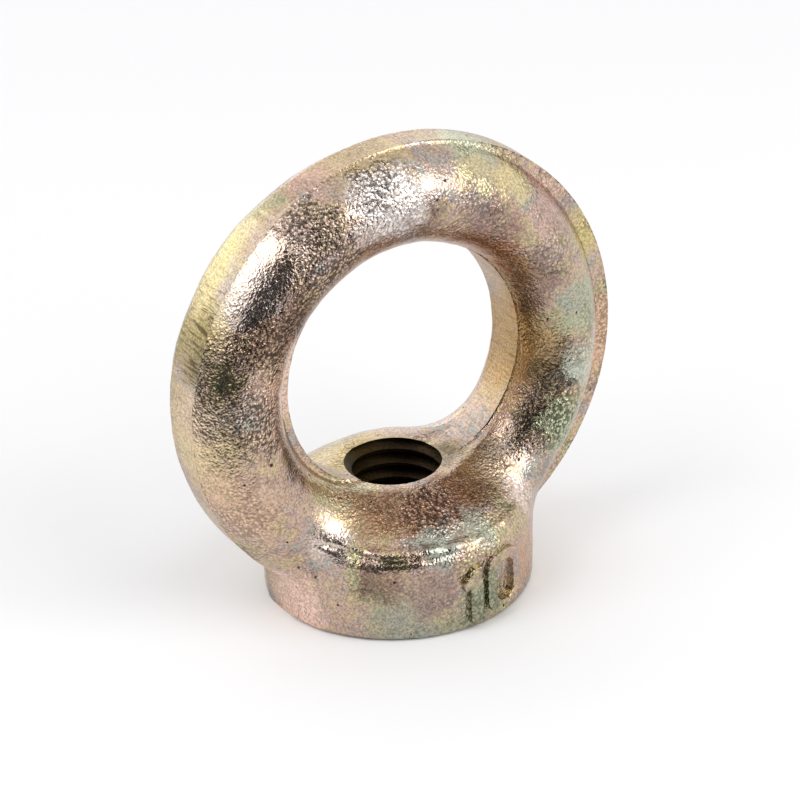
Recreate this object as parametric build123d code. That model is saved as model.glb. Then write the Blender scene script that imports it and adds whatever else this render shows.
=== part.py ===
"""Lifting eye nut for an M10 stud, drop forged in one piece.

A ring stands on edge on a round boss, and the boss runs down into a tapped collar. The two
forging dies meet in the plane of the ring. The flash that they squeeze out there is sheared off,
which leaves a raised band round the outside of the ring, a narrow flat down each side of the
collar, and a flat land round the inside of the eye.

Frame: origin at the centre of the collar's seating face, +Z up along the thread, ring in XZ.
All lengths are in millimetres and all angles in degrees.
"""
import os
from math import radians, tan

from build123d import *

# Thread
thread_diameter = 10.0
thread_pitch = 1.5
top_countersink = 0.3      # depth, at 45 degrees, where the bore comes out in the eye
base_countersink = 0.8     # depth, at 45 degrees, in the seating face

# Ring
eye_diameter = 25.0        # across the sheared land inside the eye
ring_width = 10.0          # from the eye out to the sheared rim
ring_thickness = 11.1      # from face to face, along Y

# Sheared flash
flash_thickness = 2.8      # width of the band, along Y
flash_height = 0.2         # how far the band stands proud of the forged ring
flash_corner = 2.0         # radius where the band turns down the side of the collar
land_depth = 0.2           # how deep the punch cuts into the forged inside of the eye

# Boss and collar
collar_diameter = 25.3     # at the seating face
collar_draft = 1.5         # angle at which the collar widens upwards
flat_depth = 0.1           # how deep the shear cuts into each side of the collar, at the foot
base_edge = 0.2            # chamfer round the seating face
shoulder_height = 8.2      # of the collar's top corner, before it is rounded
shoulder_round = 2.2
boss_top_height = 12.0     # floor of the eye, where the bore comes out
floor_rise = 2.0           # how far that floor fills the bottom of the round eye
boss_crown = 0.3           # how far the boss swells above a straight cone
bore_land = 1.1            # flat rim between the bore and the start of the crown

# Blend where the ring runs into the boss, inside the eye and down both faces
ring_blend = 7.0

# Worked out from the sizes above
eye_radius = eye_diameter / 2
ring_outer_radius = eye_radius + ring_width
ring_centre_height = boss_top_height - floor_rise + eye_radius
forged_outer_radius = ring_outer_radius - flash_height
forged_eye_radius = eye_radius - land_depth
section_centre_radius = (forged_outer_radius + forged_eye_radius) / 2
section_half_width = (forged_outer_radius - forged_eye_radius) / 2
collar_radius = collar_diameter / 2
shoulder_radius = collar_radius + shoulder_height * tan(radians(collar_draft))
forged_top_height = boss_top_height + land_depth
bore_radius = (thread_diameter - thread_pitch) / 2
rim_radius = bore_radius + bore_land
full_height = ring_centre_height + ring_outer_radius
through_depth = 2 * collar_diameter + ring_thickness


def forged_ring():
    """The ring before trimming: an oval section swept round a circle, from its top."""
    centre_line = Plane.XZ * Pos(0, ring_centre_height) * CenterArc((0, 0), section_centre_radius, 90, 360)
    section_place = Pos(0, ring_centre_height + section_centre_radius)
    section = Plane.YZ * section_place * Ellipse(ring_thickness / 2, section_half_width)
    return sweep(section, path=centre_line)


def boss_profile():
    """Half section of collar and boss: seating face, drafted wall, round shoulder, crown."""
    shoulder = Vector(shoulder_radius, shoulder_height)
    rim = Vector(rim_radius, forged_top_height)
    crown_middle = (shoulder + rim) / 2 + Vector(0, boss_crown)
    wall = Polyline(
        (0, 0),
        (collar_radius - base_edge, 0),
        (collar_radius, base_edge),
        shoulder,
    )
    crown = ThreePointArc(shoulder, crown_middle, rim)
    axis_side = Polyline(rim, (0, forged_top_height), (0, 0))
    profile = make_face([wall, crown, axis_side])
    shoulder_corner = profile.vertices().sort_by_distance(shoulder)[0]
    return fillet(shoulder_corner, shoulder_round)


def forged_boss():
    """Collar and boss, turned round the thread axis. The seam is turned away from the ring."""
    solid = revolve(Plane.XZ * boss_profile(), axis=Axis.Z, revolution_arc=360)
    return Rot(0, 0, 45) * solid


def runs_into_ring(edge):
    """True for an edge where the oval ring and the round boss cut each other."""
    return edge.geom_type == GeomType.BSPLINE


def blended_forging():
    """Ring and boss in one, with the dies' wide blend where they meet."""
    forging = forged_ring() + forged_boss()
    return fillet(forging.edges().filter_by(runs_into_ring), ring_blend)


def trim_outline():
    """What the trimming die leaves, seen along Y: a disc for the ring, a post for the collar."""
    disc = Pos(0, ring_centre_height) * Circle(ring_outer_radius)
    post_width = collar_diameter - 2 * flat_depth
    post = Rectangle(post_width, ring_centre_height, align=(Align.CENTER, Align.MIN))
    above_seat = Rectangle(4 * ring_outer_radius, full_height, align=(Align.CENTER, Align.MIN))
    outline = (disc + post) & above_seat
    outline = fillet(outline.vertices().group_by(Axis.Y)[-1], flash_corner)
    return chamfer(outline.vertices().group_by(Axis.Y)[0], base_edge)


def eye_punch():
    """The punch that shears the web out of the eye: round above, flat over the boss."""
    disc = Pos(0, ring_centre_height) * Circle(eye_radius)
    above_boss = Pos(0, boss_top_height) * Rectangle(
        eye_diameter, full_height, align=(Align.CENTER, Align.MIN)
    )
    opening = disc & above_boss
    opening = fillet(opening.vertices().group_by(Axis.Y)[0], ring_blend)
    return extrude(Plane.XZ * opening, through_depth / 2, both=True)


def trimmed_forging():
    """The forging with its flash, sheared to the outline and punched through the eye."""
    outline = Plane.XZ * trim_outline()
    flash = extrude(outline, flash_thickness / 2, both=True)
    trimming_die = extrude(outline, through_depth / 2, both=True)
    trimmed = (blended_forging() + flash) & trimming_die
    return trimmed - eye_punch()


def tapping_bore():
    """Bore at the thread's minor diameter, countersunk at both ends."""
    bore = Cylinder(bore_radius, full_height)
    seat_sink = Cone(
        bore_radius + base_countersink, bore_radius, base_countersink,
        align=(Align.CENTER, Align.CENTER, Align.MIN),
    )
    eye_sink = Pos(0, 0, boss_top_height - top_countersink) * Cone(
        bore_radius, bore_radius + 2 * top_countersink, 2 * top_countersink,
        align=(Align.CENTER, Align.CENTER, Align.MIN),
    )
    return bore + seat_sink + eye_sink


def eye_nut():
    """The finished nut, one solid."""
    return trimmed_forging() - tapping_bore()


os.makedirs("parts", exist_ok=True)
export_step(eye_nut(), "parts/eye_nut.step")
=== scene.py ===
"""Lifting eye nut in yellow passivated zinc plate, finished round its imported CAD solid.

The script follows the nut as it is made: the forging, the two trimming cuts, the machined seat,
the tapped hole, and then the plating. The nut is in millimetres until it is finished, and the
studio and the camera are in metres.
"""

import math
import bpy
from mathutils import Matrix, Vector, noise


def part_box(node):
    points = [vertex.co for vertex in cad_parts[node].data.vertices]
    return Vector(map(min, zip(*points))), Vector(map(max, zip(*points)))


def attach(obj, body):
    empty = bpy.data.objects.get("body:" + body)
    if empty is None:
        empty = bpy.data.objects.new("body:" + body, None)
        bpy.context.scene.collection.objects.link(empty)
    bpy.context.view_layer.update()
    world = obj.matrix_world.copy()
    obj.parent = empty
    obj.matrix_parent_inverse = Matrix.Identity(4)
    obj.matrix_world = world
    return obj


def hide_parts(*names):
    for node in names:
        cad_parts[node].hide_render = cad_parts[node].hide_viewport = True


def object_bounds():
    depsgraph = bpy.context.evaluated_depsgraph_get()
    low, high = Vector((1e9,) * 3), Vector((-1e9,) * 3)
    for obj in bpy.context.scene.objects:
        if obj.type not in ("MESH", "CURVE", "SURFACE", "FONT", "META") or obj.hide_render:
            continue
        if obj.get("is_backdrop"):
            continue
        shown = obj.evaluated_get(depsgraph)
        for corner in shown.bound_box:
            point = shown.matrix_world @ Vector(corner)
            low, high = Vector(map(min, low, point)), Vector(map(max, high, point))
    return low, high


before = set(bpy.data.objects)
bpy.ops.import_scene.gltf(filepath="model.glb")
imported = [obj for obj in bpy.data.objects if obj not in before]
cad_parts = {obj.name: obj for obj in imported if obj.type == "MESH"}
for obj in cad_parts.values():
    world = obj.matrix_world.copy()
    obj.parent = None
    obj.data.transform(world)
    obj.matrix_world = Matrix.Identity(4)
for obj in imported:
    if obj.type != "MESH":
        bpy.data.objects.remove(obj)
cad_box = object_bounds()
MM = 0.001
scene = bpy.context.scene


# Studio. A white sheet runs under the nut in a white room. Two soft boxes stand left and right of
# the camera, and between and below them black flags give the plated metal something dark to
# reflect. The flags show only in reflections, and shade nothing.
nut_middle = Vector((0, 0, 0.0201))
sheet_drop = 0.00002           # the sheet lies this far under the seat, clear of it


def srgb(hex_colour):
    """Linear RGBA of an sRGB hex colour."""
    channels = [int(hex_colour[i:i + 2], 16) / 255 for i in (1, 3, 5)]
    return [c / 12.92 if c <= 0.04045 else ((c + 0.055) / 1.055) ** 2.4 for c in channels] + [1.0]


def add_node(tree, kind, settings, *values, **named_values):
    """A shader node with its settings and the values or links of its inputs.

    Plain values go to the inputs that the node shows, in order, and named ones to the input of that
    name. A value that is a node stands for the first output that it shows.
    """
    node = tree.nodes.new(kind)
    for name, setting in settings.items():
        setattr(node, name, setting)
    shown = [socket for socket in node.inputs if socket.enabled]
    filled = list(zip(shown, values))
    filled += [(node.inputs[name.replace("_", " ")], value) for name, value in named_values.items()]
    for socket, value in filled:
        if isinstance(value, bpy.types.Node):
            value = next(output for output in value.outputs if output.enabled)
        if isinstance(value, bpy.types.NodeSocket):
            tree.links.new(value, socket)
        else:
            socket.default_value = value
    return node


def new_material(name):
    """An empty node material and its tree."""
    material = bpy.data.materials.new(name)
    material.use_nodes = True
    material.node_tree.nodes.clear()
    return material, material.node_tree


def card(name, colour, size, place, facing):
    """A flat matt card of the studio, turned to face a point. Matt board shows no highlight."""
    material, tree = new_material(name)
    board = add_node(tree, "ShaderNodeBsdfPrincipled", {}, Base_Color=srgb(colour), Roughness=0.9)
    add_node(tree, "ShaderNodeOutputMaterial", {}, board)
    bpy.ops.object.select_all(action="DESELECT")
    turn = (Vector(facing) - Vector(place)).to_track_quat("Z", "Y").to_euler()
    bpy.ops.mesh.primitive_plane_add(size=1.0, location=place, rotation=turn)
    piece = bpy.context.active_object
    piece.name = name
    piece.scale = (size[0], size[1], 1)
    bpy.ops.object.transform_apply(location=True, rotation=True, scale=True)
    piece.data.materials.append(material)
    piece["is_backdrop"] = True
    return piece


def toward(azimuth, elevation, distance):
    """A place seen from the nut at an angle round from the front and an angle up, in degrees."""
    turn, rise = math.radians(azimuth), math.radians(elevation)
    return nut_middle + distance * Vector((math.sin(turn) * math.cos(rise),
                                           -math.cos(turn) * math.cos(rise), math.sin(rise)))


card("floor_card", "#f4f4f4", (6, 6), (0, 0, -sheet_drop), (0, 0, 1))
for name, size, place, facing in (
    ("front_flag", (0.54, 0.84), toward(-27, 22, 0.5), nut_middle),
    ("low_flag", (0.50, 0.40), (-0.206, -0.145, 0.042), (0, 0, 1.26)),
):
    flag = card(name, "#181818", size, place, facing)
    flag.visible_camera = flag.visible_diffuse = flag.visible_shadow = flag.visible_transmission = False

# The room is plain white to the eye and in reflections, and lights the nut a little less.
world = bpy.data.worlds.new("white_room")
scene.world = world
world.use_nodes = True
tree = world.node_tree
tree.nodes.clear()
path = add_node(tree, "ShaderNodeLightPath", {})
seen = add_node(tree, "ShaderNodeMath", {"operation": "MAXIMUM"}, path.outputs["Is Camera Ray"],
                path.outputs["Is Glossy Ray"])
seen = add_node(tree, "ShaderNodeMath", {"operation": "MAXIMUM"}, seen, path.outputs["Is Transmission Ray"])
fill = add_node(tree, "ShaderNodeBackground", {}, srgb("#e6e6e8"), 0.9)
white = add_node(tree, "ShaderNodeBackground", {}, srgb("#ffffff"), 1.0)
room = add_node(tree, "ShaderNodeMixShader", {}, seen, fill, white)
add_node(tree, "ShaderNodeOutputWorld", {}, room)
scene.view_settings.view_transform = "Standard"

for name, azimuth, elevation, distance, width, height, watts in (
    ("left_softbox", -86, 46, 0.45, 0.30, 0.26, 0.58),
    ("right_softbox", 28, 35, 0.50, 0.40, 0.34, 1.12),
    ("back_softbox", 180, 14, 0.70, 1.10, 0.42, 1.3),
):
    lamp = bpy.data.lights.new(name, "AREA")
    lamp.shape = "RECTANGLE"
    lamp.size = width
    lamp.size_y = height
    lamp.energy = watts
    holder = bpy.data.objects.new(name, lamp)
    scene.collection.objects.link(holder)
    holder.location = toward(azimuth, elevation, distance)
    holder.rotation_euler = (holder.location - nut_middle).to_track_quat("Z", "Y").to_euler()


# Camera. A long lens looks down on the nut from the left of its front, under half a metre away.
# It leans a little to one side, and its frame is shifted a little to set the nut in it.
view_azimuth, view_elevation, view_lean = math.radians(-29.2), math.radians(27.5), math.radians(-2.6)
view_distance = 0.3846
aim = Vector((-0.00038, 0, 0.01984))
back = Vector((math.sin(view_azimuth) * math.cos(view_elevation),
               -math.cos(view_azimuth) * math.cos(view_elevation), math.sin(view_elevation)))
right = Vector((math.cos(view_azimuth), math.sin(view_azimuth), 0.0))
up = back.cross(right)
leaned_right = right * math.cos(view_lean) + up * math.sin(view_lean)
leaned_up = up * math.cos(view_lean) - right * math.sin(view_lean)
lens = bpy.data.cameras.new("camera")
lens.sensor_width = 36.0
lens.lens = 188.55
lens.shift_x = 0.012875
lens.shift_y = -0.01675
lens.clip_start = 0.01
camera = bpy.data.objects.new("camera", lens)
scene.collection.objects.link(camera)
stand = aim + back * view_distance
camera.matrix_world = Matrix((
    (leaned_right.x, leaned_up.x, back.x, stand.x),
    (leaned_right.y, leaned_up.y, back.y, stand.y),
    (leaned_right.z, leaned_up.z, back.z, stand.z),
    (0, 0, 0, 1),
))
scene.camera = camera


# Forging. Ring, boss and collar are one piece of steel, pressed in one heat between two dies that
# meet in the ring's plane. It comes out with soft edges and with a thin web of flash all round and
# across the eye.
box_low, box_high = [Vector(corner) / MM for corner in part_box("eye_nut")]
rim_radius = (box_high.x - box_low.x) / 2
forged_scale = 0.990           # the forging is a shade under its nominal size
forged_shift = -0.38           # forging against the thread, along the ring's plane
seat_stock = 0.1               # left under the collar to be faced off
ring_height = (box_high.z - rim_radius) * forged_scale - seat_stock      # of the ring's centre
section_radius = 17.2          # middle of the ring's section, from the ring's centre
skin = 0.24                    # mesh spacing of the forged skin
forged, sheared, tapped = 0, 1, 2      # the three finishes, as the material slots of their faces


def only(piece):
    """Selects one object and makes it the active one."""
    bpy.ops.object.select_all(action="DESELECT")
    piece.select_set(True)
    bpy.context.view_layer.objects.active = piece


def use_modifier(piece, kind, **settings):
    """Adds a modifier to a piece and applies it."""
    only(piece)
    modifier = piece.modifiers.new(kind.lower(), kind)
    for name, value in settings.items():
        setattr(modifier, name, value)
    bpy.ops.object.modifier_apply(modifier=modifier.name)


def join_into(piece, other):
    """Joins another object into a piece."""
    only(piece)
    other.select_set(True)
    bpy.ops.object.join()


def face_outwards():
    """Turns all faces of the active piece outwards."""
    bpy.ops.object.mode_set(mode="EDIT")
    bpy.ops.mesh.select_all(action="SELECT")
    bpy.ops.mesh.normals_make_consistent(inside=False)
    bpy.ops.object.mode_set(mode="OBJECT")


def weigh(piece, name, weight):
    """A vertex group with a weight for each vertex, worked out from its place."""
    group = piece.vertex_groups.new(name=name)
    for vertex in piece.data.vertices:
        amount = weight(*vertex.co)
        if amount > 0.001:
            group.add([vertex.index], amount, "REPLACE")


def ease(value, start, end):
    """0 before start and 1 after end, with a smooth rise between them."""
    t = min(max((value - start) / (end - start), 0.0), 1.0)
    return t * t * (3 - 2 * t)


cad_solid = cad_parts["eye_nut"]
nut = bpy.data.objects.new("forged_nut", cad_solid.data.copy())
scene.collection.objects.link(nut)
nut.data.materials.clear()
for _ in (forged, sheared, tapped):
    nut.data.materials.append(None)
only(nut)
nut.scale = (forged_scale / MM,) * 3
nut.location = (forged_shift, 0, -seat_stock)
bpy.ops.object.transform_apply(location=True, rotation=True, scale=True)
bpy.ops.object.mode_set(mode="EDIT")
bpy.ops.mesh.select_all(action="SELECT")
bpy.ops.mesh.remove_doubles(threshold=0.002)
bpy.ops.object.mode_set(mode="OBJECT")
face_outwards()

# A slug fills the bore, because the nut is drilled only after forging.
slug_radius, slug_top = 5.15, 11.75
bpy.ops.mesh.primitive_cylinder_add(vertices=64, radius=slug_radius, depth=slug_top,
                                    location=(forged_shift, 0, slug_top / 2))
join_into(nut, bpy.context.active_object)
use_modifier(nut, "REMESH", mode="VOXEL", voxel_size=skin, use_smooth_shade=True)

# The steel fills the dies on the faces of the ring but not round its rim, least on the right, and
# there it stays short inside the eye as well, in the front die.
short_fill = 0.70              # the most that is missing
rim_on_left = 0.34             # share of it at the rim on the left
inside_on_right = 0.60         # share of it inside the eye on the right


def shortage(x, y, z):
    """Share of the short fill at a place on the forging."""
    side, rise = x - forged_shift, z - ring_height
    reach = math.hypot(side, rise)
    on_right = ease(side / reach, 0.3, 0.9)
    rim = ease(reach, section_radius, 21.6) * (rim_on_left + (1 - rim_on_left) * on_right)
    in_front = 1 - ease(y, -1.2, 1.2)
    inside = (1 - ease(reach, 12.2, section_radius)) * inside_on_right * on_right * in_front
    above_collar = ease(z, 5.0, 9.0)
    return (rim + inside) * above_collar


weigh(nut, "short", shortage)
use_modifier(nut, "DISPLACE", vertex_group="short", direction="NORMAL", mid_level=0, strength=-short_fill)

# The web of flash: a flat washer between the dies, from inside the eye to past the rim.
flash_half = 1.38              # half its thickness
flash_outer, flash_inner = 23.4, 10.3
bpy.ops.mesh.primitive_circle_add(vertices=256, radius=flash_outer, location=(0, flash_half, ring_height),
                                  rotation=(math.pi / 2, 0, 0))
web = bpy.context.active_object
bpy.ops.object.mode_set(mode="EDIT")
bpy.ops.mesh.extrude_edges_move()
bpy.ops.transform.resize(value=(flash_inner / flash_outer,) * 3)
bpy.ops.mesh.select_all(action="SELECT")
bpy.ops.mesh.extrude_region_move(TRANSFORM_OT_translate={"value": (0, -2 * flash_half, 0)})
bpy.ops.object.mode_set(mode="OBJECT")
face_outwards()
join_into(nut, web)
bpy.ops.object.transform_apply(location=True, rotation=True, scale=True)
nut.vertex_groups.clear()
use_modifier(nut, "REMESH", mode="VOXEL", voxel_size=skin, use_smooth_shade=True)


# Figures. A plain one and nought, 6 mm high, stand up from the front of the collar. They are sunk
# into the front die, so they are forged in one with the nut, with soft edges and round corners.
collar_radius = 12.62
figure_relief = 0.5            # how far they stand out, and how far they reach into the collar
figure_mesh = 0.13             # mesh spacing of their skin
figure_edge = 0.05             # bevel that softens them


def arc(centre, radius, start, end, steps):
    """Points along an arc in the ring's plane, as (x, z)."""
    angles = [math.radians(start + (end - start) * i / steps) for i in range(steps + 1)]
    return [(centre[0] + radius * math.cos(a), centre[1] + radius * math.sin(a)) for a in angles]


def prism(name, outline, half_depth):
    """A prism across the ring's plane with the given outline."""
    mesh = bpy.data.meshes.new(name)
    mesh.from_pydata([(x, -half_depth, z) for x, z in outline], [], [list(range(len(outline)))])
    piece = bpy.data.objects.new(name, mesh)
    scene.collection.objects.link(piece)
    only(piece)
    bpy.ops.object.mode_set(mode="EDIT")
    bpy.ops.mesh.select_all(action="SELECT")
    bpy.ops.mesh.extrude_region_move(TRANSFORM_OT_translate={"value": (0, 2 * half_depth, 0)})
    bpy.ops.object.mode_set(mode="OBJECT")
    face_outwards()
    return piece


def combine(piece, tool, operation, finish=forged):
    """Cuts a piece with a tool, or adds it, and throws the tool away. Its faces keep its finish."""
    while len(tool.data.materials) <= tapped:
        tool.data.materials.append(None)
    tool.data.polygons.foreach_set("material_index", [finish] * len(tool.data.polygons))
    use_modifier(piece, "BOOLEAN", object=tool, operation=operation, solver="MANIFOLD")
    bpy.data.objects.remove(tool)


def rounded_slot(half_width, half_height, radius):
    """Outline of an upright box with round corners, about its middle."""
    x, z = half_width - radius, half_height - radius
    return (arc((x, z), radius, 0, 90, 6) + arc((-x, z), radius, 90, 180, 6)
            + arc((-x, -z), radius, 180, 270, 6) + arc((x, -z), radius, 270, 360, 6))


def raise_on_collar(figure, angle, height):
    """Bends a flat figure round the collar, softens its edges and joins it to the forging."""
    only(figure)
    bpy.ops.object.mode_set(mode="EDIT")
    bpy.ops.mesh.select_all(action="SELECT")
    bpy.ops.mesh.bevel(offset=figure_edge, segments=1)
    bpy.ops.object.mode_set(mode="OBJECT")
    use_modifier(figure, "REMESH", mode="VOXEL", voxel_size=figure_mesh)
    for vertex in figure.data.vertices:
        x, y, z = vertex.co
        turn = math.radians(angle) + x / collar_radius
        out = collar_radius - y
        vertex.co = (forged_shift + out * math.cos(turn), out * math.sin(turn), height + z)
    combine(nut, figure, "UNION")


one_stem = [(-0.65, -2.85), (0.65, -2.85), (0.65, 2.95), (-0.2, 2.95)]
one_flag = [(-1.45, 1.7), (-1.15, 0.75), (-0.65, 1.1)]
one = prism("figure_one", one_stem + one_flag, figure_relief)
raise_on_collar(one, angle=-86.3, height=3.35)

nought_outside = rounded_slot(half_width=2.2, half_height=3.1, radius=1.7)
nought_inside = rounded_slot(half_width=1.1, half_height=2.0, radius=0.85)
nought = prism("figure_nought", nought_outside, figure_relief)
combine(nought, prism("counter", nought_inside, 4 * figure_relief), "DIFFERENCE")
raise_on_collar(nought, angle=-71.0, height=3.75)


# Flaws of the forging. The two dies are worn and a little out of register, the boss is fuller on
# one side, and a cold lap runs along the shoulder: a folded seam, with the metal piled up above it.
front_die_right, front_die_high = 0.14, 0.20
rear_boss_fullness = 0.55
seam_height, seam_climb = 8.25, 1.5        # above the seat, and how much more at its left end
seam_depth, seam_half_width = 0.28, 0.36
pile_rise, pile_height = 0.5, 0.18         # above the seam, and how far it stands out


def in_front_die(x, y, z):
    """1 in the front die and 0 in the back one."""
    return 1 - ease(y, -1.0, 1.0)


def on_rear_boss(x, y, z):
    """1 on the top of the boss behind the ring, and towards its right side."""
    behind = ease(y, 1.5, 5.0)
    on_top = ease(z, 7.5, 10.5) * (1 - ease(z, 13.0, 16.0))
    return behind * on_top * ease(x, -6.0, 5.0) * (1 - ease(x, 8.5, 12.0))


def lap_height(x):
    """Height of the seam, which climbs at its left end."""
    return seam_height + seam_climb * (1 - ease(x, -13.0, -7.0))


def ragged(x, y, z, size):
    """From 0 to 1, wandering along the surface over a size in millimetres."""
    return ease(noise.noise(Vector((x, y, z)) / size), -0.25, 0.25)


def on_seam(x, y, z):
    """1 along the seam, which thins out at both ends and here and there between them."""
    close = 1 - ease(abs(z - lap_height(x)), 0.0, seam_half_width)
    along = ease(x, -13.0, -10.5) * (1 - ease(x, -3.0, -0.5)) * (1 - ease(y, -6.0, -4.0))
    return close * along * (0.45 + 0.55 * ragged(x, y, z, 1.8))


def on_pile(x, y, z):
    """1 along the metal that is piled up above the seam."""
    close = 1 - ease(abs(z - lap_height(x) - pile_rise), 0.1, 0.42)
    along = ease(x, -12.0, -8.5) * (1 - ease(x, 6.0, 9.0)) * (1 - ease(y, -6.0, -4.0))
    return close * along * (0.4 + 0.6 * ragged(x, y, z, 1.5))


weigh(nut, "front_die", in_front_die)
use_modifier(nut, "DISPLACE", vertex_group="front_die", direction="X", mid_level=0, strength=front_die_right)
use_modifier(nut, "DISPLACE", vertex_group="front_die", direction="Z", mid_level=0, strength=front_die_high)
weigh(nut, "rear_boss", on_rear_boss)
use_modifier(nut, "DISPLACE", vertex_group="rear_boss", direction="Z", mid_level=0,
             strength=rear_boss_fullness)
weigh(nut, "seam", on_seam)
use_modifier(nut, "DISPLACE", vertex_group="seam", mid_level=0, strength=-seam_depth)
weigh(nut, "pile", on_pile)
use_modifier(nut, "DISPLACE", vertex_group="pile", mid_level=0, strength=pile_height)

# Scaled steel pressed into worn dies: slow waves over the skin, and a finer unevenness on them.
for name, size, strength in (("die_wear", 5.0, 0.22), ("scale_print", 1.1, 0.07)):
    texture = bpy.data.textures.new(name, "CLOUDS")
    texture.noise_scale = size
    texture.noise_depth = 2
    use_modifier(nut, "DISPLACE", texture=texture, texture_coords="LOCAL", mid_level=0.5, strength=strength)


# Trimming. A press pushes the forging through a die and shears the flash off round the outside.
# The cut is bright and crisp, proud of the forging on one side and into it on the other.
trim_centre = (0.44, ring_height - 0.1)
trim_radius = 22.2
post_left, post_right = -12.54, 12.40
post_turn = 2.0                # radius where the cut turns from the ring down the collar
below_seat = -3.0
tool_reach = 30                # how far a press tool runs out on both sides of the ring's plane


def concave_corner(post_x):
    """Arc that joins the trimmed circle to one side of the collar, from the circle down."""
    side = 1 if post_x > 0 else -1
    centre_x = post_x + side * post_turn
    reach = trim_radius + post_turn
    drop = math.sqrt(reach ** 2 - (centre_x - trim_centre[0]) ** 2)
    centre = (centre_x, trim_centre[1] - drop)
    up_angle = math.degrees(math.atan2(drop, trim_centre[0] - centre_x))
    return arc(centre, post_turn, up_angle, 180 if side > 0 else 0, 12), centre


right_corner, right_centre = concave_corner(post_right)
left_corner, left_centre = concave_corner(post_left)
turn_right = math.degrees(math.atan2(right_centre[1] - trim_centre[1], right_centre[0] - trim_centre[0]))
turn_left = math.degrees(math.atan2(left_centre[1] - trim_centre[1], left_centre[0] - trim_centre[0])) + 360
trimmed_rim = arc(trim_centre, trim_radius, turn_right, turn_left, 300)
outline = (trimmed_rim[::-1] + right_corner + [(post_right, below_seat), (post_left, below_seat)]
           + left_corner[::-1])
combine(nut, prism("trimming_die", outline, tool_reach), "INTERSECT", finish=sheared)


# Punching. The web inside the eye is pushed out in the same stroke. It leaves a bright land with
# a sharp edge, and it is sheared a little past the forging on the right. Over the boss the punch
# is flat and only skims the forging.
punch_centre = (0.42, ring_height + 0.3)
punch_radius = 12.13
punch_corner = 7.0
punch_floor = 12.0
corner_height = punch_floor + punch_corner
corner_drop = punch_centre[1] - corner_height
corner_side = math.sqrt((punch_radius - punch_corner) ** 2 - corner_drop ** 2)
corner_angle = math.degrees(math.atan2(corner_drop, corner_side))
left_foot = (punch_centre[0] - corner_side, corner_height)
right_foot = (punch_centre[0] + corner_side, corner_height)
outline = (arc(punch_centre, punch_radius, -corner_angle, 180 + corner_angle, 200)
           + arc(left_foot, punch_corner, 180 + corner_angle, 270, 24)[1:]
           + arc(right_foot, punch_corner, 270, 360 - corner_angle, 24)[:-1])
combine(nut, prism("punch", outline, tool_reach), "DIFFERENCE", finish=sheared)


# Seat and thread. The underside is faced flat, then a plain drill and a tap go through. The tap
# leaves a right-hand M10 thread of 1.5 mm pitch, which runs out through the floor of the eye.
thread_pitch = 1.5
thread_radius = 5.0
thread_turns = 10
drill_radius, drill_length = 4.22, 40
sink_radius, sink_length = 5.6, 2.0        # of the countersink, which is cut at 45 degrees
sink_below = 0.6               # how far its wide end stands below the seat
groove_root, groove_mouth = 0.19, 1.22     # widths of the groove at its bottom and at the bore
groove_overlap = 0.1           # how far the tap's teeth reach back into the open bore
groove_flare = 0.06            # how much wider they are there, on each side
run_out = math.radians(160)    # where the groove's middle comes up through the eye's floor

only(nut)
bpy.ops.object.mode_set(mode="EDIT")
bpy.ops.mesh.select_all(action="SELECT")
bpy.ops.mesh.bisect(plane_co=(0, 0, 0), plane_no=(0, 0, 1), clear_inner=True, use_fill=True)
bpy.ops.object.mode_set(mode="OBJECT")

bpy.ops.mesh.primitive_cylinder_add(vertices=96, radius=drill_radius, depth=drill_length,
                                    location=(0, 0, punch_floor / 2))
combine(nut, bpy.context.active_object, "DIFFERENCE", finish=tapped)
bpy.ops.mesh.primitive_cone_add(vertices=96, radius1=sink_radius, radius2=sink_radius - sink_length,
                                depth=sink_length, location=(0, 0, sink_length / 2 - sink_below))
combine(nut, bpy.context.active_object, "DIFFERENCE", finish=sheared)

inner = drill_radius - groove_overlap
inner_half = groove_mouth / 2 + groove_flare
tooth = [(inner, -inner_half), (thread_radius, -groove_root / 2),
         (thread_radius, groove_root / 2), (inner, inner_half)]
groove = bpy.data.meshes.new("tap_tooth")
groove.from_pydata([(x, 0, z) for x, z in tooth], [(0, 1), (1, 2), (2, 3), (3, 0)], [])
tap = bpy.data.objects.new("tap", groove)
scene.collection.objects.link(tap)
use_modifier(tap, "SCREW", axis="Z", angle=2 * math.pi, screw_offset=thread_pitch, iterations=thread_turns,
             steps=72, render_steps=72, use_merge_vertices=False)
bpy.ops.object.mode_set(mode="EDIT")
bpy.ops.mesh.select_all(action="DESELECT")
bpy.ops.mesh.select_non_manifold()
bpy.ops.mesh.edge_face_add()
bpy.ops.object.mode_set(mode="OBJECT")
face_outwards()
tap.rotation_euler.z = run_out
tap.location.z = punch_floor - (thread_turns - 1) * thread_pitch
bpy.ops.object.transform_apply(location=True, rotation=True, scale=True)
combine(nut, tap, "DIFFERENCE", finish=tapped)

# Where a cut meets another surface the edge stays hard; everywhere else the skin is smooth. The edges are
# marked, so that the plating can be drawn darker along them. Then the nut goes to metres.
only(nut)
bpy.ops.object.shade_smooth_by_angle(angle=math.radians(35))
finishes = {}
for face in nut.data.polygons:
    for corner in face.vertices:
        finishes.setdefault(corner, set()).add(face.material_index)
cut_edge = nut.data.attributes.new("cut_edge", "FLOAT", "POINT")
for corner, found in finishes.items():
    cut_edge.data[corner].value = float(len(found) > 1)
nut.scale = (MM,) * 3
bpy.ops.object.transform_apply(location=True, rotation=True, scale=True)


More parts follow.
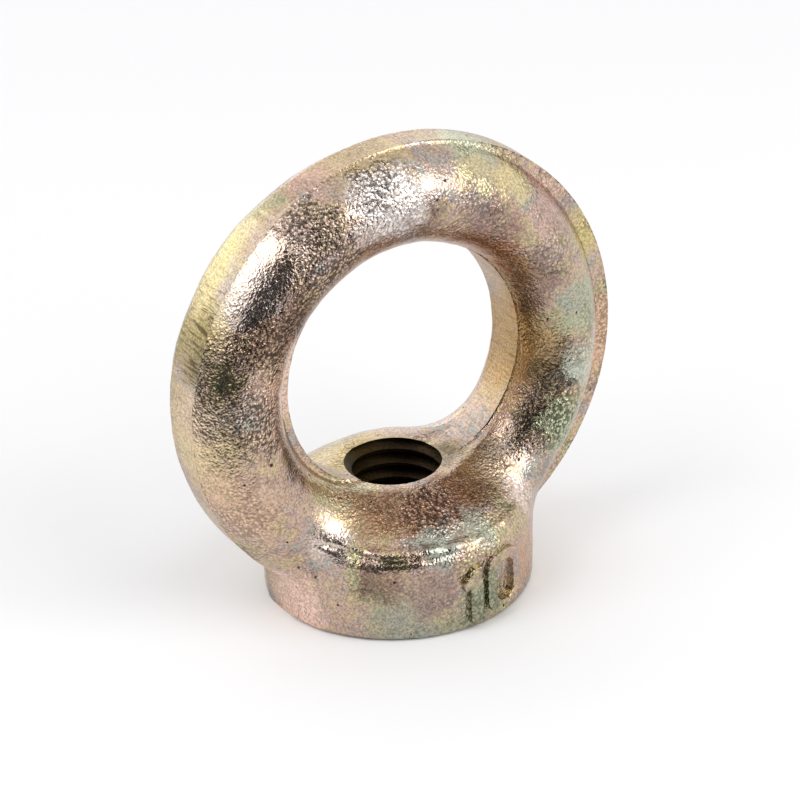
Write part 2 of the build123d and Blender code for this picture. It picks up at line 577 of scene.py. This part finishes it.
# Plating. Zinc on forged steel, yellow passivated in a drum: a thin film that turns from straw
# yellow through pink and mauve to sea green where it is thicker. It is a metal all over, and only
# the steel under it makes it rough or smooth. All lengths here are in millimetres.
crystal_size = 0.33                        # across one zinc crystal
bend_size, bend_reach = 0.5, 0.35          # how its sides wander, over a length and by a distance
grit_size, sand_size = 0.25, 0.2           # of the finer grain between and over the crystals
pit_spacing = 1.3                          # between the places where a pit may be
swirl_size, cloud_size = 2.2, 4.5          # of the drift of the patches, and of the film's own clouds
drift_reach, grit_reach = 3.0, 1.6         # how far a patch drifts with the swirls, and with the grit
scale_patch_size = 4.0                     # of the patches where thick scale left a coarse skin
score_spacing = 0.35                       # between the lines that the shear leaves
eye_axis = (0.4, 0, ring_height)
worn_stretch = (-15.6, -2.8, 37.0)         # rubbed calm, beside the rim at the upper left
fully_dark_stretch = (-19.5, -3.6, 15.0)        # darker all along the cut edges here, at the lower left
galled_stretch = (-19.5, -1.5, 32.0)       # where the band is galled in deep lines, at the left

# The film's colours, each with the height in the clouds at which it stands.
film_colours = (
    ("#a9b3a6", 0.33),         # grey green
    ("#bba8a2", 0.42),         # mauve
    ("#ceb09c", 0.50),         # pink
    ("#d2c096", 0.58),         # straw
    ("#b2b294", 0.67),         # pale olive
)

# Stretches of one colour: the middle, how far it reaches, its colour, and how strong it is there. Most are
# the film's colour; those marked paint a highlight, a dark reflection or shade.
film_and_painted_light_places = (
    ((-16.5, 1.0, 37.5), 8.0, "#efdda2", 0.85),       # straw on the rim, upper left
    ((-13.0, -2.6, 40.0), 5.0, "#dcc4b8", 0.8),       # pale pink at the edge of the rim
    ((-20.5, 1.0, 31.5), 5.0, "#b0a068", 0.85),       # olive on the rim, left
    ((-21.5, -0.5, 22.0), 7.0, "#eed6aa", 0.8),       # straw on the rim, left
    ((-19.0, -3.6, 15.0), 6.5, "#e2bfa2", 0.8),       # salmon, lower left
    ((-21.3, -2.2, 25.0), 3.6, "#f6dcc0", 0.8),       # peach beside the rim, left
    ((-2.0, 0.5, 44.0), 6.0, "#c9b38c", 0.8),         # tan on the rim, top
    ((8.5, -0.5, 43.0), 4.0, "#cfd2b6", 0.85),        # grey green on the rim, top
    ((12.0, -3.0, 40.0), 3.0, "#f4e2a8", 0.8),        # straw on the shoulder of the ring, top right
    ((-6.5, 0.8, 43.6), 3.2, "#dbb3a2", 0.65),        # rose on the rim, top left
    ((-8.5, -3.6, 41.0), 3.4, "#a08b7e", 0.8),        # dun beside the rim, top
    ((-2.5, -3.4, 42.9), 3.4, "#a58f82", 0.8),        # dun beside it
    ((8.4, -3.2, 41.8), 2.6, "#e2d4a2", 0.7),         # straw beside it
    ((16.5, -2.6, 36.5), 4.2, "#dfbbad", 0.85),       # pink below them
    ((8.0, -3.4, 33.0), 5.5, "#b97f5a", 0.85),        # rust inside the ring, top right
    ((-2.5, -4.8, 36.6), 4.0, "#a8795c", 0.8),        # rust inside the ring, top
    ((-14.0, -6.0, 33.5), 6.5, "#8f7262", 0.9),       # brown, painted dark as a dark reflection, on the ring, left front
    ((12.6, -5.0, 15.6), 3.6, "#6b5f52", 0.92),       # brown, painted dark as a dark reflection, on the ring, right front
    ((15.6, -5.2, 14.6), 2.6, "#b9b79c", 0.85),       # pale olive beside it
    ((8.4, -4.6, 11.6), 2.4, "#a68c70", 0.8),         # brown, painted shade where the ring meets the boss
    ((9.8, -6.6, 9.8), 2.4, "#f2ded2", 0.9),          # pale pink, a painted highlight on the shoulder, right
    ((8.5, -5.3, 36.5), 4.5, "#a0847c", 0.8),         # mauve brown on the ring, top right
    ((1.0, -5.4, 37.6), 4.2, "#8c7263", 0.85),        # brown on the ring, top
    ((12.6, -5.3, 29.5), 4.8, "#968078", 0.85),       # mauve grey on the ring, right, painted darker as a dark reflection
    ((12.8, -5.0, 24.5), 3.5, "#93837a", 0.8),        # mauve grey below it, painted darker as a dark reflection
    ((14.8, -5.3, 20.4), 3.8, "#6c6656", 0.92),       # dark olive on the ring, right front, painted as a dark reflection
    ((-1.5, -4.6, 41.8), 5.0, "#f6ece8", 0.9),        # near white lilac, a painted highlight on the ring, upper front
    ((-16.0, -3.4, 36.5), 4.5, "#dacbc4", 0.85),      # pale lilac on the ring, left front
    ((-12.3, -3.0, 26.0), 6.5, "#f2cfb8", 0.85),      # peach inside the ring, left
    ((17.8, -5.0, 26.0), 3.6, "#a8b8a0", 0.65),       # sea green on the right
    ((18.4, -4.6, 20.0), 3.2, "#cdd4c0", 0.85),       # grey green under it
    ((15.8, -4.8, 14.2), 3.6, "#c0c9a6", 0.8),        # pale green, lower right
    ((21.7, -1.0, 20.0), 5.5, "#dcb698", 0.9),        # salmon on the sheared band, right
    ((20.5, -1.0, 31.0), 4.0, "#d8c68a", 0.9),        # straw on the sheared band, upper right
    ((12.5, 1.0, 22.0), 7.5, "#bf9a62", 0.9),         # tan inside the eye
    ((-3.0, 5.0, 12.0), 7.0, "#c1ab74", 0.85),        # straw behind the bore
    ((-2.5, -6.6, 11.5), 4.0, "#9b745a", 0.85),       # rust brown on the boss
    ((2.2, -6.4, 11.4), 4.0, "#936b54", 0.85),        # rust brown beside it
    ((7.0, -4.0, 12.3), 4.0, "#d4bea2", 0.85),        # tan on the boss, right
    ((5.2, -0.5, 12.2), 3.0, "#857a62", 0.85),        # dark olive at the bore, right
    ((-5.5, -5.5, 12.0), 4.0, "#b39172", 0.75),       # tan on the boss, left
    ((-3.0, -4.2, 12.2), 2.8, "#a3866a", 0.8),        # tan in front of the bore
    ((-1.5, -10.4, 9.8), 2.8, "#b4b7a8", 0.85),       # grey green under the boss
    ((2.8, -9.8, 9.9), 2.6, "#b0b5a6", 0.8),          # grey green beside it
    ((-7.0, -9.8, 6.9), 3.0, "#866c60", 0.85),        # brown under the seam
    ((-10.0, -5.9, 10.7), 2.8, "#ead9d0", 0.85),      # pale pink on the shoulder, left
    ((-6.0, -11.0, 2.0), 5.0, "#a6aa98", 0.8),        # grey green on the collar
    ((-1.0, -12.5, 1.2), 3.2, "#a7ab8e", 0.8),        # green beside it, over the seat
    ((-3.0, -11.8, 5.6), 3.2, "#a58e88", 0.8),        # mauve on the collar
    ((-12.5, -1.0, 3.0), 5.5, "#ffdccc", 0.95),       # pink on the collar, left
    ((9.5, -8.5, 5.0), 4.5, "#d8ac90", 0.85),         # peach on the collar, right
    ((2.5, -12.6, 3.8), 4.0, "#9fa48a", 0.85),        # green on the figures
)

# Stretches where the scale was thick and the skin is coarse: the middle, and how far it reaches.
coarse_places = (
    ((-13.5, -7.0, 33.0), 8.0),
    ((-8.0, -7.0, 37.5), 6.5),
    ((-9.0, -3.0, 41.6), 3.4),
    ((-2.0, -2.8, 43.4), 3.2),
    ((13.5, -6.5, 16.5), 6.5),
    ((-16.5, -7.0, 24.0), 6.0),
    ((-0.5, -7.0, 11.6), 4.2),
)

# Settings that many of the nodes share.
ADD = {"operation": "ADD"}
SUBTRACT = {"operation": "SUBTRACT"}
MULTIPLY = {"operation": "MULTIPLY"}
MULTIPLY_ADD = {"operation": "MULTIPLY_ADD"}
MAXIMUM = {"operation": "MAXIMUM"}
DISTANCE = {"operation": "DISTANCE"}
SMOOTH = {"interpolation_type": "SMOOTHSTEP"}
OVER = {"data_type": "RGBA", "blend_type": "MIX"}
TIMES = {"data_type": "RGBA", "blend_type": "MULTIPLY"}


def surface_places(tree):
    """Places on the nut in millimetres, a copy of them that drifts, and the two noises behind it.

    Patches are set on the drifted copy, which gives each of them a ragged edge.
    """
    coordinates = add_node(tree, "ShaderNodeTexCoord", {}).outputs["Object"]
    place = add_node(tree, "ShaderNodeVectorMath", {"operation": "SCALE"}, coordinates, 1 / MM)
    swirl = add_node(tree, "ShaderNodeTexNoise", {}, place, 1 / swirl_size, 4.0, 0.7)
    grit = add_node(tree, "ShaderNodeTexNoise", {}, place, 1 / grit_size, 1.0, 0.6)
    drift = add_node(tree, "ShaderNodeVectorMath", MULTIPLY_ADD, swirl.outputs["Color"],
                     (2 * drift_reach,) * 3, place)
    drift = add_node(tree, "ShaderNodeVectorMath", SUBTRACT, drift, (drift_reach,) * 3)
    drift = add_node(tree, "ShaderNodeVectorMath", MULTIPLY_ADD, grit.outputs["Color"],
                     (grit_reach,) * 3, drift)
    return place, drift, swirl, grit


def patch(tree, drift, middle, reach, full, least, most):
    """One round patch: the least beyond its reach, rising to the most nearer than full."""
    away = add_node(tree, "ShaderNodeVectorMath", DISTANCE, drift, middle)
    return add_node(tree, "ShaderNodeMapRange", SMOOTH, away, reach, full, least, most)


def inside_the_ring(tree, drift, reach, full, low, high, most):
    """The inside of the ring: 0 beyond its reach from the eye's axis and under a height."""
    side_view = add_node(tree, "ShaderNodeVectorMath", MULTIPLY, drift, (1, 0, 1))
    near = patch(tree, side_view, eye_axis, reach, full, 0.0, 1.0)
    height = add_node(tree, "ShaderNodeSeparateXYZ", {}, drift).outputs["Z"]
    above = add_node(tree, "ShaderNodeMapRange", SMOOTH, height, low, high, 0.0, most)
    return add_node(tree, "ShaderNodeMath", MULTIPLY, near, above)


def zinc_grain(tree, place):
    """Crystals with wandering sides, the sand over them, and here and there a deep pit."""
    bend = add_node(tree, "ShaderNodeTexNoise", {}, place, 1 / bend_size, 1.0)
    bent = add_node(tree, "ShaderNodeVectorMath", MULTIPLY_ADD, bend.outputs["Color"],
                    (bend_reach,) * 3, place)
    crystals = add_node(tree, "ShaderNodeTexVoronoi", {}, bent, 1 / crystal_size)
    sand = add_node(tree, "ShaderNodeTexNoise", {}, place, 1 / sand_size, 1.0)
    pits = add_node(tree, "ShaderNodeTexVoronoi", {}, bent, 1 / pit_spacing)
    lot = add_node(tree, "ShaderNodeSeparateColor", {}, pits.outputs["Color"])
    chosen = add_node(tree, "ShaderNodeMath", {"operation": "GREATER_THAN"}, lot, 0.80)
    pit = add_node(tree, "ShaderNodeMapRange", SMOOTH, pits, 0.14, 0.06, 0.0, 1.0)
    return crystals, sand, add_node(tree, "ShaderNodeMath", MULTIPLY, pit, chosen)


def coarseness(tree, place, drift):
    """How deep the grain is: more where the scale was thick, and little where the skin is calm."""
    patches = add_node(tree, "ShaderNodeTexNoise", {}, place, 1 / scale_patch_size, 2.0)
    coarse = add_node(tree, "ShaderNodeMapRange", SMOOTH, patches, 0.40, 0.64, 0.25, 0.75)
    for middle, reach in coarse_places:
        stretch = patch(tree, drift, middle, reach, reach * 0.5, 0.0, 1.3)
        coarse = add_node(tree, "ShaderNodeMath", MAXIMUM, coarse, stretch)
    inside = inside_the_ring(tree, drift, reach=16.2, full=14.4, low=12.0, high=15.0, most=1.0)
    worn = patch(tree, drift, worn_stretch, 5.5, 3.5, 0.0, 1.0)
    calm = add_node(tree, "ShaderNodeMath", MAXIMUM, inside, worn)
    kept = add_node(tree, "ShaderNodeMapRange", SMOOTH, calm, 0.0, 1.0, 1.0, 0.4)
    return add_node(tree, "ShaderNodeMath", MULTIPLY, coarse, kept)


def film_and_painted_light(tree, drift, grit):
    """The film's colour, with painted highlights, dark reflections and shade in some of its stretches: it
    wanders over the skin and from grain to grain, round its stretches.
    """
    clouds = add_node(tree, "ShaderNodeTexNoise", {}, drift, 1 / cloud_size, 5.0, 0.65)
    thickness = add_node(tree, "ShaderNodeMath", MULTIPLY_ADD, grit, 0.4, clouds)
    thickness = add_node(tree, "ShaderNodeMath", SUBTRACT, thickness, 0.2)
    rainbow = add_node(tree, "ShaderNodeValToRGB", {}, thickness)
    stops = rainbow.color_ramp.elements
    while len(stops) < len(film_colours):
        stops.new(0.5)
    for stop, (colour, position) in zip(stops, film_colours):
        stop.position = position
        stop.color = srgb(colour)
    film = rainbow
    for middle, reach, colour, strength in film_and_painted_light_places:
        share = patch(tree, drift, middle, reach, reach * 0.4, 0.0, strength)
        film = add_node(tree, "ShaderNodeMix", OVER, share, film, srgb(colour))
    top_of_eye = inside_the_ring(tree, drift, reach=16.0, full=14.0, low=27.0, high=32.0, most=0.85)
    film = add_node(tree, "ShaderNodeMix", OVER, top_of_eye, film, srgb("#a5764e"))
    flecks = add_node(tree, "ShaderNodeMapRange", SMOOTH, grit, 0.50, 0.66, 0.0, 0.4)
    return add_node(tree, "ShaderNodeMix", OVER, flecks, film, rainbow)


def darker_along_cuts(tree, film, drift, swirl, grit):
    """The film drawn darker along the cuts, in broken stretches, and all along them at the lower left."""
    edge = add_node(tree, "ShaderNodeAttribute", {"attribute_name": "cut_edge"}).outputs["Fac"]
    edge = add_node(tree, "ShaderNodeMapRange", SMOOTH, edge, 0.2, 0.8, 0.0, 1.0)
    here = add_node(tree, "ShaderNodeMapRange", SMOOTH, swirl, 0.46, 0.58, 0.0, 1.0)
    blunt = patch(tree, drift, fully_dark_stretch, 10.0, 5.0, 0.0, 1.0)
    here = add_node(tree, "ShaderNodeMath", MAXIMUM, here, blunt)
    broken_up = add_node(tree, "ShaderNodeMapRange", SMOOTH, grit, 0.42, 0.52, 0.0, 1.0)
    dark_cut_edges = add_node(tree, "ShaderNodeMath", MULTIPLY, here, broken_up)
    dark_cut_edges = add_node(tree, "ShaderNodeMath", MULTIPLY, dark_cut_edges, edge)
    return add_node(tree, "ShaderNodeMix", OVER, dark_cut_edges, film, srgb("#4a3d33"))


def plated(name, roughness, grain_depth, hollow_shade, tint, dark_cut_edges=False, score_depth=0):
    """Yellow passivated zinc over a steel surface, which sets the depth of its grain and scoring."""
    material, tree = new_material(name)
    place, drift, swirl, grit = surface_places(tree)
    crystals, sand, pit = zinc_grain(tree, place)
    coarse = coarseness(tree, place, drift)

    # The sand varies the film's tone at random. The hollows between the crystals are painted dark, as shade,
    # where the skin is coarse, and the pits are painted darker still, as the shade in them.
    film = film_and_painted_light(tree, drift, grit)
    film = add_node(tree, "ShaderNodeMix", TIMES, 1.0, film, srgb(tint))
    sand_shade = add_node(tree, "ShaderNodeMapRange", SMOOTH, sand, 0.36, 0.56, 0.68, 1.14)
    film = add_node(tree, "ShaderNodeMix", TIMES, 0.8, film, sand_shade)
    # Painted shade: darker between the crystals, and a little lighter on them.
    crystal_shade = add_node(tree, "ShaderNodeMapRange", SMOOTH, crystals, 0.70, 0.25, 0.18, 1.15)
    hollow_shade_share = add_node(tree, "ShaderNodeMath", MULTIPLY, coarse, hollow_shade)
    film = add_node(tree, "ShaderNodeMix", TIMES, hollow_shade_share, film, crystal_shade)
    # Painted shade: the pits go near black.
    film = add_node(tree, "ShaderNodeMix", OVER, pit, film, srgb("#3a2c24"))
    if dark_cut_edges:
        film = darker_along_cuts(tree, film, drift, swirl, grit)

    height = add_node(tree, "ShaderNodeMath", ADD, crystals, grit)
    height = add_node(tree, "ShaderNodeMath", MULTIPLY, height, coarse)
    height = add_node(tree, "ShaderNodeMath", MULTIPLY_ADD, sand, 0.3, height)
    height = add_node(tree, "ShaderNodeMath", MULTIPLY_ADD, pit, -0.8, height)
    relief = add_node(tree, "ShaderNodeBump", {}, Height=height, Strength=1.0, Distance=grain_depth * MM)

    # The shear draws lines across the band, ten times as long as they are wide, dark where it galls.
    if score_depth:
        drawn_out = add_node(tree, "ShaderNodeVectorMath", MULTIPLY, place, (1.0, 0.10, 1.0))
        lines = add_node(tree, "ShaderNodeTexNoise", {}, drawn_out, 1 / score_spacing, 3.0, 0.7,
                         Distortion=0.4)
        dark = add_node(tree, "ShaderNodeMapRange", SMOOTH, lines, 0.52, 0.60, 0.0, 1.0)
        galled = patch(tree, drift, galled_stretch, 7.0, 3.0, 0.15, 0.85)
        dark = add_node(tree, "ShaderNodeMath", MULTIPLY, dark, galled)
        film = add_node(tree, "ShaderNodeMix", OVER, dark, film, srgb("#5d4c34"))
        relief = add_node(tree, "ShaderNodeBump", {}, Height=lines, Strength=1.0, Distance=score_depth * MM,
                          Normal=relief)
    metal = add_node(tree, "ShaderNodeBsdfPrincipled", {}, Base_Color=film, Metallic=1.0,
                     Roughness=roughness, Normal=relief)
    add_node(tree, "ShaderNodeOutputMaterial", {}, metal)
    return material


# The forged skin is rough steel under a bright plate: it sparkles, and its film is drawn darker along the
# cuts.
nut.data.materials[forged] = plated("yellow_zinc_on_forged_skin", roughness=0.24, grain_depth=0.10,
                                    hollow_shade=0.7, tint="#fafafa", dark_cut_edges=True)
# The sheared faces are smoother steel, which gives a broad soft sheen, scored across the ring.
nut.data.materials[sheared] = plated("yellow_zinc_on_sheared_steel", roughness=0.36, grain_depth=0.04,
                                     hollow_shade=0.35, tint="#fafafa", score_depth=0.08)
# The thread is tapped through the plate and oiled, and its colour is painted darker still as the shade deep
# in the bore, so that it only glints.
nut.data.materials[tapped] = plated("oiled_thread_with_painted_shade", roughness=0.45, grain_depth=0.02,
                                    hollow_shade=0.35, tint="#5c564b")
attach(nut, "root")
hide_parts("eye_nut")

size = {"cad": [list(corner) for corner in cad_box], "visual": [list(corner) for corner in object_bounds()]}
